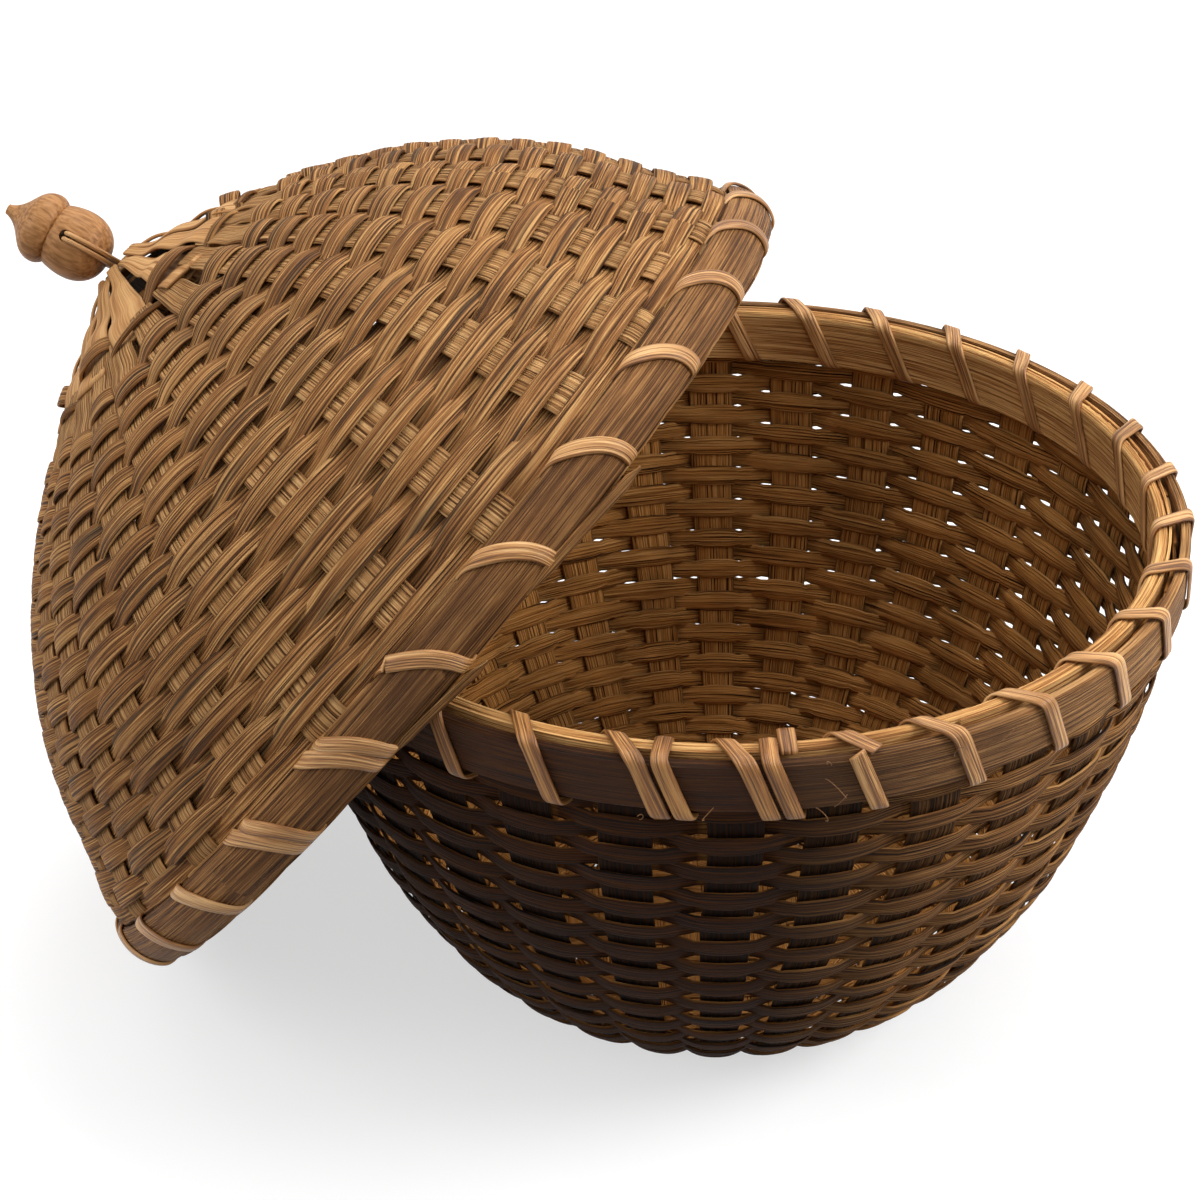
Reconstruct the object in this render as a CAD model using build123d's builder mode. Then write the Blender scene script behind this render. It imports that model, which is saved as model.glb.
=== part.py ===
# Egg basket with a loose domed lid, woven from split bamboo.
# Millimetres, +Z up. The origin is the centre of the flat base that the bowl stands on.
# The bowl stands level. The lid is off it and leans on its rim, toward -X, with its lowest edge
# just above the ground. A turned wooden knob hangs on a rattan tie at the lid's apex.
from build123d import *
from math import cos, hypot, radians, sin, sqrt
import os

os.makedirs("parts", exist_ok=True)

# Bowl
rim_radius = 140.0
bowl_height = 162.0
base_radius = 46.0
base_thickness = 3.0
weave_thickness = 2.6

# Lid
lid_rim_radius = 153.0
lid_height = 146.0

# The lid's lean, measured from lying level on the bowl, and the middle of its rim
lean_angle = 51.6
lid_lean_x = -84.6
lid_lean_z = 119.0

# Stakes, the strips that run from the middle up to the rim
stake_count = 30
stake_pitch = 360 / stake_count
stake_angle = 5.8
stake_thickness = 3.6
fork_radius = 56.0
bowl_stake_phase = 8.8
lid_stake_phase = 1.0

# Rim hoops
bowl_hoop_thickness = 3.0
bowl_hoop_height = 15.0
bowl_hoop_drop = 1.0
bowl_hoop_ease = 0.7
bowl_inner_hoop_thickness = 4.0
bowl_inner_hoop_height = 18.0
lid_hoop_thickness = 4.1
lid_hoop_height = 16.0
lid_inner_hoop_thickness = 3.8
lid_inner_hoop_height = 14.0
lid_inner_hoop_low = 0.5
splint_thickness = 0.8
splint_height = 12.0
splint_arc = 338.0
splint_start = 312.0
fit_gap = 0.1

# Lashing, flat strips of split cane in two lengths on each rim
lashing_width = 4.4
lashing_thickness = 0.9
lashing_gap = 0.2
lashing_bend = 0.9
corner_room = 0.3
wraps_per_length = 15
bowl_lashing_phase = 10.2
bowl_lashing_slant = 3.0
lid_lashing_phase = 8.5
lid_lashing_slant = 5.0
lid_lashing_drift = 9.0
double_wraps = (13, 14)
double_step = 2.6

# Knob and its tie, at the apex of the hand-woven dome, which is a little off the lid's middle
apex_across = 7.6
apex_aside = 4.7
knob_droop = 15.0
knob_gap = 3.0
tie_hole_radius = 4.0
knob_radius = 11.1
knob_length = 35.0
knob_hole_height = 12.6
knob_hole_radius = 1.9
tie_radius = 1.1
knot_radius = 5.0


# Places that follow from the sizes above
bowl_weave_radius = rim_radius - bowl_hoop_thickness - fit_gap
bowl_weave_height = bowl_height - 3
bowl_shoulder = bowl_height - bowl_inner_hoop_height - 0.5
bowl_splint_radius = bowl_weave_radius - weave_thickness - fit_gap
bowl_inner_hoop_radius = bowl_splint_radius - splint_thickness - fit_gap
lid_splint_radius = lid_rim_radius - lid_hoop_thickness - fit_gap
lid_weave_radius = lid_splint_radius - splint_thickness - fit_gap
lid_inner_hoop_radius = lid_weave_radius - weave_thickness - fit_gap
lid_inner_hoop_high = lid_inner_hoop_low + lid_inner_hoop_height
lid_shoulder = lid_hoop_height - 0.5
lid_apex_radius = 1.0
wall_arcs = 6
stake_arcs = 4

# Radius of the round face of each half-round hoop, from its height and how far it swells
lid_hoop_edge = 1.2
lid_inner_hoop_edge = 0.6
lid_hoop_swell = lid_hoop_thickness - lid_hoop_edge
lid_hoop_round = ((lid_hoop_height / 2) ** 2 + lid_hoop_swell ** 2) / (2 * lid_hoop_swell)
inner_swell = lid_inner_hoop_thickness - lid_inner_hoop_edge
lid_inner_hoop_round = ((lid_inner_hoop_height / 2) ** 2 + inner_swell ** 2) / (2 * inner_swell)

lean = radians(lean_angle)
lid_middle = Vector(lid_lean_x, 0, lid_lean_z)
lid_across = Vector(cos(lean), 0, sin(lean))
lid_axis = Vector(-sin(lean), 0, cos(lean))
lid_plane = Plane(origin=lid_middle, x_dir=lid_across, z_dir=lid_axis)
lid_section = Plane(origin=lid_middle, x_dir=lid_across, z_dir=(0, -1, 0))
lid_spin = Axis(lid_middle, lid_axis)
apex = lid_middle + lid_axis * lid_height + lid_across * apex_across + Vector(0, apex_aside, 0)


def bowl_outline(share):
    """Outside radius and height of the bowl's weave at a share of the height under its hoops."""
    swell = (1 - (1 - share) ** 1.28) ** 0.4425
    return base_radius + (bowl_weave_radius - base_radius) * swell, share * bowl_shoulder


# The outside of the bowl's weave from its base to its hoops, and the lid's from hoops to apex
bowl_points = [bowl_outline(share) for share in (0.0, 0.03, 0.1, 0.22, 0.4, 0.62, 0.82, 1.0)]
bowl_directions = ((1, 0), (0, 1))
lid_points = [
    (lid_weave_radius, lid_shoulder),
    (138.5, 36.0),
    (123.5, 65.0),
    (95.8, 95.8),
    (59.5, 121.0),
    (33.0, 135.0),
    (lid_apex_radius, lid_height),
]
lid_directions = ((0, 1), (-1, 0.3))


def layer(points, directions, inset, thickness, arcs, start=0.0, end=1.0, rim=None):
    """A layer of the weave in section, in arcs inset under the smooth curve through the points.

    With a rim, it also goes straight on from the curve's end at the hoops to that height.
    """
    curve = Spline(*points, tangents=directions)
    steps = 2 * arcs
    outer = []
    inner = []
    for step in range(steps + 1):
        share = start + (end - start) * step / steps
        inward = curve.tangent_at(share).rotate(Axis.Z, 90)
        outer.append(curve.position_at(share) + inward * inset)
        inner.append(curve.position_at(share) + inward * (inset + thickness))
    with BuildSketch() as section:
        with BuildLine():
            for step in range(0, steps, 2):
                ThreePointArc(*outer[step:step + 3])
                ThreePointArc(*inner[step:step + 3])
            if rim is None:
                Line(outer[0], inner[0])
                Line(outer[-1], inner[-1])
            else:
                hoop_end = 0 if outer[0].X > outer[-1].X else -1
                other_end = -1 - hoop_end
                Line(outer[other_end], inner[other_end])
                Polyline(
                    outer[hoop_end],
                    (outer[hoop_end].X, rim),
                    (inner[hoop_end].X, rim),
                    inner[hoop_end],
                )
        make_face()
    return section.sketch


def wrap_angles(phase, first, drift=0.0):
    """Start angles of one length's wraps; the front length has double wraps near its end.

    The drift spreads the wraps where the rim was bound loosest, and crowds them opposite.
    """
    angles = []
    for wrap in range(wraps_per_length):
        angle = phase + stake_pitch * (first + wrap)
        angle += drift * sin(radians(angle - 308))
        angles.append(angle)
        if first < wraps_per_length and wrap in double_wraps:
            angles.append(angle + double_step)
    return angles


def bend(radius, height, size, turns):
    """Stations round a bend: their radius, height and the direction that faces out of it."""
    return [
        (radius + size * cos(radians(turn)), height + size * sin(radians(turn)), turn)
        for turn in turns
    ]


def lashing_places(angles, face, rest, slant):
    """Section planes of a strip that winds round a rim, and how wide each section is.

    The strip crosses the outer face at a slant, then goes round the rest of the rim. Every
    section lies along the rim, so the strip is cut on the bias where it slants.
    """
    stations = face + rest
    gone = [0.0]
    for here, there in zip(stations, stations[1:] + stations[:1]):
        gone.append(gone[-1] + hypot(there[0] - here[0], there[1] - here[1]))
    crossed = gone[len(face) - 1]
    points = []
    normals = []
    for index, angle in enumerate(angles):
        following = angles[index + 1] if index + 1 < len(angles) else angle + stake_pitch
        left = following - angle - slant
        for step, (radius, height, turn) in enumerate(stations):
            if step < len(face):
                at = radians(angle + slant * gone[step] / crossed)
            else:
                share = (gone[step] - crossed) / (gone[-1] - crossed)
                at = radians(angle + slant + left * share)
            outward = Vector(cos(at), sin(at), 0)
            points.append(outward * radius + Vector(0, 0, height))
            normals.append(outward * cos(radians(turn)) + Vector(0, 0, sin(radians(turn))))
    places = []
    for index, (point, normal) in enumerate(zip(points, normals)):
        ahead = points[min(index + 1, len(points) - 1)] - points[max(index - 1, 0)]
        along = Vector(-point.Y, point.X, 0).normalized()
        bias = sqrt(1 - (ahead.normalized().dot(along)) ** 2)
        place = Plane(origin=point, x_dir=along, z_dir=along.cross(normal))
        places.append((place, lashing_width / bias))
    return places


def least_gap(places, stations_per_wrap):
    """Least distance between the middles of a strip's turns, less the strip's width."""
    middles = [place.origin for place, width in places]
    distances = [
        (middles[index] - other).length
        for index in range(len(middles))
        for other in middles[index + stations_per_wrap - 1:]
    ]
    return min(distances) - lashing_width


# Sections of the weave, and of the stakes that stand a little proud of both its faces
proud = (stake_thickness - weave_thickness) / 2
bowl_curve = (bowl_points, bowl_directions)
lid_curve = (lid_points, lid_directions)
bowl_wall_section = layer(*bowl_curve, 0, weave_thickness, wall_arcs, rim=bowl_weave_height)
bowl_stake_section = layer(*bowl_curve, -proud, stake_thickness, stake_arcs, 0.12, 0.995)
lid_wall_section = layer(*lid_curve, 0, weave_thickness, wall_arcs, rim=1.0)
lid_stake_section = layer(*lid_curve, -proud, stake_thickness, stake_arcs, 0.02, 0.92)

# Bowl: the woven wall, open at the top
with BuildPart() as bowl_wall:
    with BuildSketch(Plane.XZ):
        add(bowl_wall_section)
    revolve(axis=Axis.Z)
bowl_wall.part.label = "bowl_wall"
export_step(bowl_wall.part, "parts/bowl_wall.step")

# The flat middle of the bottom, where the stakes cross and the weaving starts
with BuildPart() as bowl_base:
    with BuildSketch():
        Circle(base_radius)
    extrude(amount=base_thickness)
    fillet(bowl_base.edges().filter_by(GeomType.CIRCLE).sort_by(Axis.Z)[-1], 1.2)
bowl_base.part.label = "bowl_base"
export_step(bowl_base.part, "parts/bowl_base.step")

# The bowl's stakes
with BuildPart() as bowl_stake:
    with BuildSketch(Plane.XZ):
        add(bowl_stake_section)
    revolve(axis=Axis.Z, revolution_arc=stake_angle)
with BuildPart() as bowl_stakes:
    with PolarLocations(0, stake_count, bowl_stake_phase - stake_angle / 2):
        add(bowl_stake.part)
bowl_stakes.part.label = "bowl_stakes"
export_step(bowl_stakes.part, "parts/bowl_stakes.step")

# Outer hoop of the bowl, a flat strip with its outer edges eased
with BuildPart() as bowl_outer_hoop:
    with BuildSketch(Plane.XZ):
        hoop_top = bowl_height - bowl_hoop_drop
        with Locations((rim_radius - bowl_hoop_thickness / 2, hoop_top - bowl_hoop_height / 2)):
            strip = Rectangle(bowl_hoop_thickness, bowl_hoop_height)
        chamfer(strip.vertices().group_by(Axis.X)[-1], bowl_hoop_ease)
    revolve(axis=Axis.Z)
bowl_outer_hoop.part.label = "bowl_outer_hoop"
export_step(bowl_outer_hoop.part, "parts/bowl_outer_hoop.step")

# Inner hoop of the bowl, thicker and round on top
with BuildPart() as bowl_inner_hoop:
    with BuildSketch(Plane.XZ):
        back = bowl_inner_hoop_radius
        face = back - bowl_inner_hoop_thickness
        foot = bowl_height - bowl_inner_hoop_height
        crown = bowl_inner_hoop_thickness / 2
        with BuildLine():
            Line((back, bowl_height - crown), (back, foot))
            Line((back, foot), (face, foot))
            Line((face, foot), (face, bowl_height - crown))
            RadiusArc((face, bowl_height - crown), (back, bowl_height - crown), crown)
        make_face()
    revolve(axis=Axis.Z)
bowl_inner_hoop.part.label = "bowl_inner_hoop"
export_step(bowl_inner_hoop.part, "parts/bowl_inner_hoop.step")

# Thin splint that fills the rim between the weave and the inner hoop, its ends a hand's width apart
with BuildPart() as bowl_splint:
    with BuildSketch(Plane.XZ.rotated((0, 0, splint_start))):
        with Locations((bowl_splint_radius - splint_thickness / 2, bowl_height - 0.5)):
            Rectangle(splint_thickness, splint_height, align=(Align.CENTER, Align.MAX))
    revolve(axis=Axis.Z, revolution_arc=splint_arc)
bowl_splint.part.label = "bowl_splint"
export_step(bowl_splint.part, "parts/bowl_splint.step")

# The bowl's lashing binds the hoops to the weave and goes through the wall under them
lift = lashing_gap + lashing_thickness / 2
outside = rim_radius + lift - lashing_bend
inside = bowl_inner_hoop_radius - bowl_inner_hoop_thickness - lift + lashing_bend
above = bowl_height + lift - lashing_bend
below = bowl_height - bowl_inner_hoop_height - lift + lashing_bend
bowl_face = bend(outside, above, lashing_bend, (45, 0)) + bend(outside, below, lashing_bend, (0, -45))
bowl_rest = (
    bend(outside, below, lashing_bend, (-90,))
    + bend(inside, below, lashing_bend, (-90, -135, -180))
    + bend(inside, above, lashing_bend, (-180, -225, -270))
    + bend(outside, above, lashing_bend, (-270,))
)
for name, first in (("bowl_lashing_front", 9), ("bowl_lashing_back", 24)):
    angles = wrap_angles(bowl_lashing_phase, first)
    route = lashing_places(angles, bowl_face, bowl_rest, bowl_lashing_slant)
    with BuildPart() as bowl_lashing:
        for place, width in route:
            with BuildSketch(place):
                Rectangle(width, lashing_thickness)
        loft(ruled=True)
    bowl_lashing.part.label = name
    export_step(bowl_lashing.part, f"parts/{name}.step")
    print(name, "least gap", round(least_gap(route, len(bowl_face + bowl_rest)), 2))

# Lid: the woven dome, with a small hole where its apex is for the tie
with BuildPart() as lid_wall:
    with BuildSketch(lid_section):
        add(lid_wall_section)
    revolve(axis=lid_spin)
    with BuildSketch(Plane(origin=apex, x_dir=lid_across, z_dir=lid_axis)):
        Circle(tie_hole_radius)
    extrude(amount=20, both=True, mode=Mode.SUBTRACT)
lid_wall.part.label = "lid_wall"
export_step(lid_wall.part, "parts/lid_wall.step")

# The lid's stakes are wide at the apex and each splits in two on the way down
with BuildPart() as lid_stake:
    with BuildSketch(Plane.XZ):
        add(lid_stake_section)
    revolve(axis=Axis.Z, revolution_arc=stake_pitch + stake_angle)
    with BuildSketch(Plane.XZ.rotated((0, 0, stake_angle))):
        with Locations((fork_radius, 0)):
            Rectangle(lid_rim_radius, lid_height + stake_thickness, align=(Align.MIN, Align.MIN))
    revolve(axis=Axis.Z, revolution_arc=stake_pitch - stake_angle, mode=Mode.SUBTRACT)
with BuildPart(lid_plane) as lid_stakes:
    with PolarLocations(0, stake_count // 2, lid_stake_phase - stake_angle / 2):
        add(lid_stake.part)
lid_stakes.part.label = "lid_stakes"
export_step(lid_stakes.part, "parts/lid_stakes.step")

# Outer hoop of the lid, a split cane with its round side out
with BuildPart() as lid_outer_hoop:
    with BuildSketch(lid_section):
        back = lid_rim_radius - lid_hoop_thickness
        edge = lid_hoop_edge
        with BuildLine():
            Line((back, lid_hoop_height), (back, 0))
            Line((back, 0), (back + edge, 0))
            ThreePointArc(
                (back + edge, 0),
                (lid_rim_radius, lid_hoop_height / 2),
                (back + edge, lid_hoop_height),
            )
            Line((back + edge, lid_hoop_height), (back, lid_hoop_height))
        make_face()
    revolve(axis=lid_spin)
lid_outer_hoop.part.label = "lid_outer_hoop"
export_step(lid_outer_hoop.part, "parts/lid_outer_hoop.step")

# Inner hoop of the lid, a split cane with its round side in
with BuildPart() as lid_inner_hoop:
    with BuildSketch(lid_section):
        back = lid_inner_hoop_radius
        edge = lid_inner_hoop_edge
        low = lid_inner_hoop_low
        high = lid_inner_hoop_high
        with BuildLine():
            Line((back, high), (back, low))
            Line((back, low), (back - edge, low))
            ThreePointArc(
                (back - edge, low),
                (back - lid_inner_hoop_thickness, (low + high) / 2),
                (back - edge, high),
            )
            Line((back - edge, high), (back, high))
        make_face()
    revolve(axis=lid_spin)
lid_inner_hoop.part.label = "lid_inner_hoop"
export_step(lid_inner_hoop.part, "parts/lid_inner_hoop.step")

# Thin splint between the lid's weave and its outer hoop
with BuildPart(lid_plane) as lid_splint:
    with BuildSketch(lid_section):
        with Locations((lid_splint_radius - splint_thickness / 2, 0.3)):
            Rectangle(splint_thickness, splint_height, align=(Align.CENTER, Align.MIN))
    revolve(axis=lid_spin, revolution_arc=splint_arc)
lid_splint.part.label = "lid_splint"
export_step(lid_splint.part, "parts/lid_splint.step")

# The lid's lashing follows the round of both hoops and goes through the dome above them
lid_face = bend(
    lid_rim_radius - lid_hoop_round,
    lid_hoop_height / 2,
    lid_hoop_round + lift,
    (40, 24, 8, -8, -24, -40),
)
inner_face = lid_inner_hoop_radius - lid_inner_hoop_thickness
hoop_back = lid_rim_radius - lid_hoop_thickness
lid_rest = (
    bend(hoop_back + 0.4, 0, lift, (-66, -95))
    + bend(lid_inner_hoop_radius, lid_inner_hoop_low, lift + corner_room, (-118,))
    + bend(
        inner_face + lid_inner_hoop_round,
        lid_inner_hoop_height / 2 + lid_inner_hoop_low,
        lid_inner_hoop_round + lift + fit_gap,
        (-138, -152, -166, -180, -194, -208, -222),
    )
    + bend(lid_inner_hoop_radius, lid_inner_hoop_high, lift + corner_room, (-242,))
    + bend(hoop_back + 0.4, lid_hoop_height, lift, (-265, -294))
)
for name, first in (("lid_lashing_front", 9), ("lid_lashing_back", 24)):
    angles = wrap_angles(lid_lashing_phase, first, lid_lashing_drift)
    route = lashing_places(angles, lid_face, lid_rest, lid_lashing_slant)
    with BuildPart() as lid_lashing:
        for place, width in route:
            with BuildSketch(Plane(lid_plane.location * place.location)):
                Rectangle(width, lashing_thickness)
        loft(ruled=True)
    lid_lashing.part.label = name
    export_step(lid_lashing.part, f"parts/{name}.step")
    print(name, "least gap", round(least_gap(route, len(lid_face + lid_rest)), 2))

# Knob, turned in one piece: a ball, a cut groove and an onion-shaped cap
droop = radians(lean_angle + knob_droop)
knob_axis = Vector(-sin(droop), 0, cos(droop))
knob_foot = apex + knob_axis * knob_gap
knob_across = Vector(cos(droop), 0, sin(droop))
knob_section = Plane(origin=knob_foot, x_dir=knob_across, z_dir=(0, -1, 0))
with BuildPart() as knob:
    with BuildSketch(knob_section):
        with BuildLine():
            Line((0, 0), (3.0, 0))
            Spline((3.0, 0), (7.6, 2.0), (10.3, 5.8), (knob_radius, 9.6), (9.9, 17.4))
            Line((9.9, 17.4), (9.3, 18.0))
            Line((9.3, 18.0), (10.2, 18.6))
            Spline((10.2, 18.6), (11.3, 21.4), (10.4, 24.8), (6.2, 28.6), (3.0, 31.6), (1.6, 34.6))
            Line((1.6, 34.6), (0, knob_length))
            Line((0, knob_length), (0, 0))
        make_face()
    revolve(axis=Axis(knob_foot, knob_axis))
    hole_middle = knob_foot + knob_axis * knob_hole_height
    with BuildSketch(Plane(origin=hole_middle, x_dir=knob_across, z_dir=(0, -1, 0))):
        Circle(knob_hole_radius)
    extrude(amount=20, both=True, mode=Mode.SUBTRACT)
knob.part.label = "knob"
export_step(knob.part, "parts/knob.step")

# The tie is one strand that goes through the knob and down both its sides to the apex
tie_plane = Plane(origin=knob_foot, x_dir=(0, 1, 0), z_dir=knob_across)
tie_side = knob_radius + tie_radius + 0.3
half_tie = [
    (2.6, -2.4),
    (7.4, -0.6),
    (tie_side - 0.9, 3.6),
    (tie_side, 8.0),
    (tie_side - 0.1, knob_hole_height - 2.2),
    (tie_side - 0.8, knob_hole_height - 0.7),
    (tie_side - 2.6, knob_hole_height),
    (4.0, knob_hole_height),
]
with BuildPart() as knob_tie:
    with BuildLine(tie_plane):
        tie_route = Spline(*half_tie, *[(-across, along) for across, along in reversed(half_tie)])
    with BuildSketch(Plane(origin=tie_route @ 0, z_dir=tie_route % 0)):
        Circle(tie_radius)
    sweep()
knob_tie.part.label = "knob_tie"
export_step(knob_tie.part, "parts/knob_tie.step")

# Knot inside the apex that keeps the tie from pulling out
with BuildPart() as tie_knot:
    Sphere(knot_radius)
knot_middle = apex - lid_axis * (weave_thickness + knot_radius + 4)
tie_knot.part.position = knot_middle
tie_knot.part.label = "tie_knot"
export_step(tie_knot.part, "parts/tie_knot.step")
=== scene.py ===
from math import cos, pi, radians, sin, sqrt

import bpy
import numpy as np
from mathutils import Matrix, Vector


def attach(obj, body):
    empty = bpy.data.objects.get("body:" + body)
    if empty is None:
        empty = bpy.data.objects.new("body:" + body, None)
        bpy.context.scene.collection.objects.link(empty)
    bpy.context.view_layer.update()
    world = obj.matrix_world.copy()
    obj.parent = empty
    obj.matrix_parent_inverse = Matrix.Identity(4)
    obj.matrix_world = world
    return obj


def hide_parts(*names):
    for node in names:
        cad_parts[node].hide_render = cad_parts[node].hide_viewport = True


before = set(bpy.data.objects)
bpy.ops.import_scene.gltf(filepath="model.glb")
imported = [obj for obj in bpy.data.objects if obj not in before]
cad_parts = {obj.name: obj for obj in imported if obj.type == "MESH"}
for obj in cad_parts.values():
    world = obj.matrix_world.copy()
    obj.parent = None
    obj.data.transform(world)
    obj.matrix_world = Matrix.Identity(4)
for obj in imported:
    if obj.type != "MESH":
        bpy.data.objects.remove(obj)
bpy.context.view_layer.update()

# An egg basket woven from split bamboo: a bowl, a domed lid that leans on its rim, and a turned
# knob on a rattan tie. Lengths are in millimetres until a mesh is made, and metres from there.
MM = 0.001

# The bowl, as the frame has it
rim_radius = 140.0
bowl_height = 162.0
base_radius = 46.0
wall_thickness = 2.6
bowl_weave_radius = 136.9
bowl_shoulder = 143.5
bowl_hoop_bottom = 146.0
bowl_inner_hoop_radius = 129.3
bowl_inner_hoop_bottom = 144.0

# The lid, as the frame has it. The dome starts to be drawn aside above its rim.
lid_rim_radius = 153.0
lid_height = 146.0
lid_weave_radius = 147.9
lid_shoulder = 15.5
lid_inner_hoop_radius = 145.2
lid_outer_round = 12.484
lid_inner_round = 9.256
sideways = np.array((0.0, 1.0, 0.0))
lean = radians(51.6)
lid_middle = np.array((-84.6, 0.0, 119.0))
lid_across = np.array((cos(lean), 0.0, sin(lean)))
lid_axis = np.array((-sin(lean), 0.0, cos(lean)))
drawn_from = 16
apex_across = 7.6
apex_aside = 4.7

# The weave. Rows are counted from a first one, by the distance along the wall.
stake_count = 30
pitch = 2 * pi / stake_count
bowl_stake_phase = radians(8.8)
lid_stake_phase = radians(1.0)
bowl_first_row = 7.37
bowl_spacing = 5.58
lid_first_row = 0.92
lid_spacing = 5.64
strip_swing = 1.95
strip_thickness = 1.1
stake_thickness = 1.3
stake_dip = 0.3
hoop_press = 0.72

# The lid's stakes fork at a radius, and two wide rows hold them above it
fork_radius = 46.0
fork_rows = (28, 29)
fork_row_places = (167.5, 176.5)
apex_row_spacing = 9.0

# Degrees that the lid's stakes stand away from an even place, by degrees round the lid
lid_stands = np.array(
    [
        (0, 2.2), (25, 0.6), (60, 0), (205, 0), (241, -1.6), (253, -3.4), (265, -4.4), (277, -3.2),
        (289, -3.4), (301, -1.0), (313, 1.2), (325, 3.9), (337, 4.4), (349, 3.2), (360, 2.2),
    ]
)

# Lashing. Its angles, like those of loose ends, are in degrees round the rim.
wraps = 15
wrap_pitch = 12
lashing_width = 4.9
lashing_thickness = 1.05
lashing_lift = 0.85
lashing_corner = 0.9
drift_from = 308

# The knob hangs lower than the lid's axis, and its hole is turned away from the side
knob_droop = lean + radians(15)
knob_axis = np.array((-sin(knob_droop), 0.0, cos(knob_droop)))
knob_across = np.array((cos(knob_droop), 0.0, sin(knob_droop)))
apex = lid_middle + lid_axis * lid_height + lid_across * apex_across + sideways * apex_aside
knob_gap = 3.0
knob_foot = apex + knob_axis * knob_gap
hole_turn = radians(37)
strand_width = 1.9

# The camera as it was fitted to the photograph: its lens and where the rim's middle is, in pixels
camera_azimuth = radians(16.101)
camera_elevation = radians(31.603)
camera_roll = radians(-0.932)
focal_pixels = 2865.06
frame_pixels = 1200.0
sensor_width = 36.0
rim_distance = 6.18501 * rim_radius
rim_pixels_right = 122.704
rim_pixels_up = 99.681
right = np.array((cos(camera_azimuth), sin(camera_azimuth), 0.0))
flat_away = np.array((-sin(camera_azimuth), cos(camera_azimuth), 0.0))

# Sections of strips, from edge to edge on the good side and back: place across and rise
split_section = np.array(
    [
        (-0.5, -0.05), (-0.48, 0.28), (-0.37, 0.44), (-0.26, 0.42), (-0.13, 0.53), (0.0, 0.48),
        (0.12, 0.54), (0.25, 0.44), (0.37, 0.45), (0.48, 0.28), (0.5, -0.05), (0.45, -0.45),
        (0.0, -0.5), (-0.45, -0.45),
    ]
)
cane_section = np.array(
    [
        (-0.5, -0.4), (-0.49, 0.2), (-0.36, 0.44), (0.0, 0.52), (0.36, 0.44), (0.49, 0.2),
        (0.5, -0.4), (0.0, -0.42),
    ]
)
round_section = np.array([(0.5 * cos(a), 0.5 * sin(a)) for a in np.linspace(0, 2 * pi, 13)[:-1]])

# One draw for each strip, in the order in which they are added
rng = np.random.default_rng(7)


def bowl_place(radius, angle, height):
    """Points of the bowl from radius, angle and height."""
    return np.stack([radius * np.cos(angle), radius * np.sin(angle), height + 0 * angle], -1)


def lid_frame(radius, angle, height, drawn=0.0):
    """Points of the leaning lid from the radius, angle and height in the lid's own frame."""
    return (
        lid_middle
        + (radius * np.cos(angle) + apex_across * drawn)[..., None] * lid_across
        + (radius * np.sin(angle) + apex_aside * drawn)[..., None] * sideways
        + height[..., None] * lid_axis
    )


def lid_place(radius, angle, height):
    """The same, drawn a little aside on the way up, so that the apex is where the knob hangs."""
    height = height + 0 * angle
    drawn = (np.clip(height - drawn_from, 0, None) / (lid_height - drawn_from)) ** 2
    return lid_frame(radius, angle, height, drawn)


def lid_angle(angle, s):
    """Where the lid's unevenly spread stakes are, from even angles, at any distance s."""
    return angle + np.radians(np.interp(np.degrees(angle) % 360, *lid_stands.T))


def bowl_angle(angle, s):
    """Where the bowl's stakes are, which lean a little on their way down."""
    return angle - radians(2.4) * np.clip(1 - s / 170, 0, 1)


def smoothed(line, passes):
    """A line whose points are drawn towards their neighbours, with its ends kept."""
    for _ in range(passes):
        line[1:-1] = (line[:-2] + 2 * line[1:-1] + line[2:]) / 4
    return line


def gone_along(points):
    """Distance along a line to each of its points."""
    return np.concatenate([[0], np.cumsum(np.hypot(*np.diff(points, axis=0).T))])


def smooth_curve(points, start, end, count=600):
    """A smooth curve through points, with the directions given at its ends."""
    points = np.array(points, float)
    gaps = np.hypot(*np.diff(points, axis=0).T)
    knots = gone_along(points)
    slopes = np.gradient(points, knots, axis=0)
    slopes[0] = np.array(start) / np.hypot(*start)
    slopes[-1] = np.array(end) / np.hypot(*end)
    where = np.linspace(0, knots[-1], count)
    span = np.clip(np.searchsorted(knots, where, side="right") - 1, 0, len(gaps) - 1)
    t = ((where - knots[span]) / gaps[span])[:, None]
    wide = gaps[span][:, None]
    return (
        (2 * t**3 - 3 * t**2 + 1) * points[span]
        + (t**3 - 2 * t**2 + t) * wide * slopes[span]
        + (3 * t**2 - 2 * t**3) * points[span + 1]
        + (t**3 - t**2) * wide * slopes[span + 1]
    )


def wander(angle, size, waves, seed):
    """A smooth random change round a circle."""
    source = np.random.default_rng(seed)
    total = 0 * angle
    for wave in range(1, waves + 1):
        total = total + source.normal() * np.sin(wave * angle + source.uniform(0, 2 * pi)) / sqrt(wave)
    return size * total / sqrt(waves)


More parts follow.
